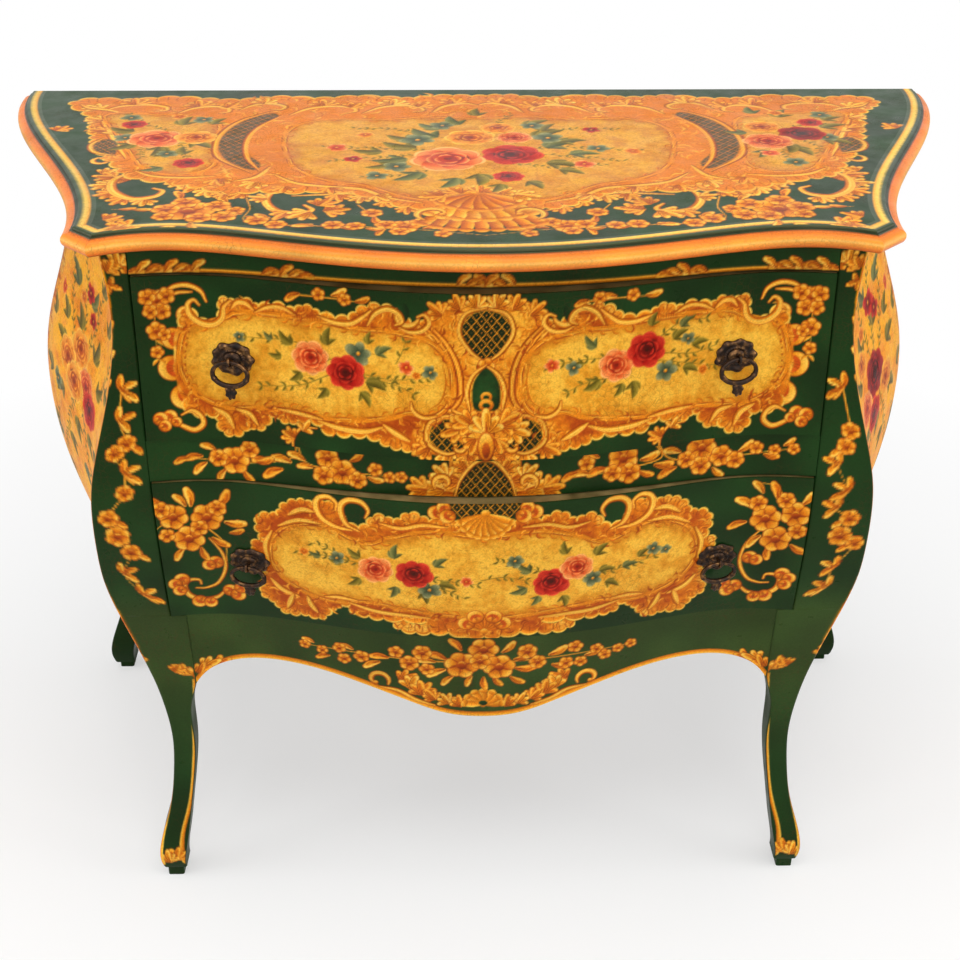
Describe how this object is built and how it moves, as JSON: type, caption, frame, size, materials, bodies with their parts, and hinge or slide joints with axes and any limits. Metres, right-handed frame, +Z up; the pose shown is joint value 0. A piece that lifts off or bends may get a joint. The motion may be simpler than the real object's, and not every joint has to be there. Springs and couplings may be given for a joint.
{
  "type": "bombe chest of drawers",
  "caption": "Painted bombe chest with bowed drawers on cabriole legs, swelling sides, a moulded serpentine top and hinged ring pulls.",
  "frame": {"origin": "on the floor under the middle of the bounding box", "axes": "+Z up, -Y out of the drawer fronts, +X to the viewer's right when facing the drawers"},
  "size_m": [1.142, 0.548, 0.87],
  "materials": {
    "green_paint": "aged satin paint",
    "painted_side": "aged satin paint",
    "gilt_moulding": "satin ochre paint",
    "bare_wood": "raw",
    "old_bronze": "dark patina"
  },
  "bodies": {
    "carcass": {"apron": "green_paint", "back_panel": "bare_wood", "back_rail": "bare_wood", "bottom_board": "bare_wood", "dust_board": "bare_wood", "frieze_rail": "green_paint", "front_post_left": "green_paint", "front_post_right": "green_paint", "lower_guide_left": "bare_wood", "lower_guide_right": "bare_wood", "lower_kicker_left": "bare_wood", "lower_kicker_right": "bare_wood", "lower_stops": "bare_wood", "mid_rail": "green_paint", "rear_post_left": "green_paint", "rear_post_right": "green_paint", "side_panel_left": "painted_side", "side_panel_right": "painted_side", "top_moulding_corner_left": "gilt_moulding", "top_moulding_corner_right": "gilt_moulding", "top_moulding_front": "gilt_moulding", "top_moulding_left": "gilt_moulding", "top_moulding_right": "gilt_moulding", "top_panel": "green_paint", "upper_guide_left": "bare_wood", "upper_guide_right": "bare_wood", "upper_kicker_left": "bare_wood", "upper_kicker_right": "bare_wood", "upper_stops": "bare_wood"},
    "upper_drawer": {"upper_drawer_back": "bare_wood", "upper_drawer_bottom": "bare_wood", "upper_drawer_front": "green_paint", "upper_drawer_nuts": "old_bronze", "upper_drawer_side_left": "bare_wood", "upper_drawer_side_right": "bare_wood", "upper_left_eye_bolt": "old_bronze", "upper_left_handle_plate": "old_bronze", "upper_right_eye_bolt": "old_bronze", "upper_right_handle_plate": "old_bronze"},
    "lower_drawer": {"lower_drawer_back": "bare_wood", "lower_drawer_bottom": "bare_wood", "lower_drawer_front": "green_paint", "lower_drawer_nuts": "old_bronze", "lower_drawer_side_left": "bare_wood", "lower_drawer_side_right": "bare_wood", "lower_left_eye_bolt": "old_bronze", "lower_left_handle_plate": "old_bronze", "lower_right_eye_bolt": "old_bronze", "lower_right_handle_plate": "old_bronze"},
    "lower_left_ring": {"lower_left_ring": "old_bronze"},
    "lower_right_ring": {"lower_right_ring": "old_bronze"},
    "upper_left_ring": {"upper_left_ring": "old_bronze"},
    "upper_right_ring": {"upper_right_ring": "old_bronze"}
  },
  "joints": [
    {"name": "upper_drawer_slide", "type": "slide", "parent": "carcass", "child": "upper_drawer", "axis": [0, -1, 0], "range_m": [0, 0.32]},
    {"name": "lower_drawer_slide", "type": "slide", "parent": "carcass", "child": "lower_drawer", "axis": [0, -1, 0], "range_m": [0, 0.32]},
    {"name": "lower_left_ring_hinge", "type": "hinge", "parent": "lower_drawer", "child": "lower_left_ring", "pos_m": [-0.26033, -0.21444, 0.48114], "axis": [-0.9835, 0.1809, 0], "range_deg": [0, 100]},
    {"name": "lower_right_ring_hinge", "type": "hinge", "parent": "lower_drawer", "child": "lower_right_ring", "pos_m": [0.26033, -0.21444, 0.48114], "axis": [-0.9835, -0.1809, 0], "range_deg": [0, 100]},
    {"name": "upper_left_ring_hinge", "type": "hinge", "parent": "upper_drawer", "child": "upper_left_ring", "pos_m": [-0.26034, -0.21165, 0.72901], "axis": [-0.9835, 0.1809, 0], "range_deg": [0, 100]},
    {"name": "upper_right_ring_hinge", "type": "hinge", "parent": "upper_drawer", "child": "upper_right_ring", "pos_m": [0.26034, -0.21165, 0.72901], "axis": [-0.9835, -0.1809, 0], "range_deg": [0, 100]}
  ]
}
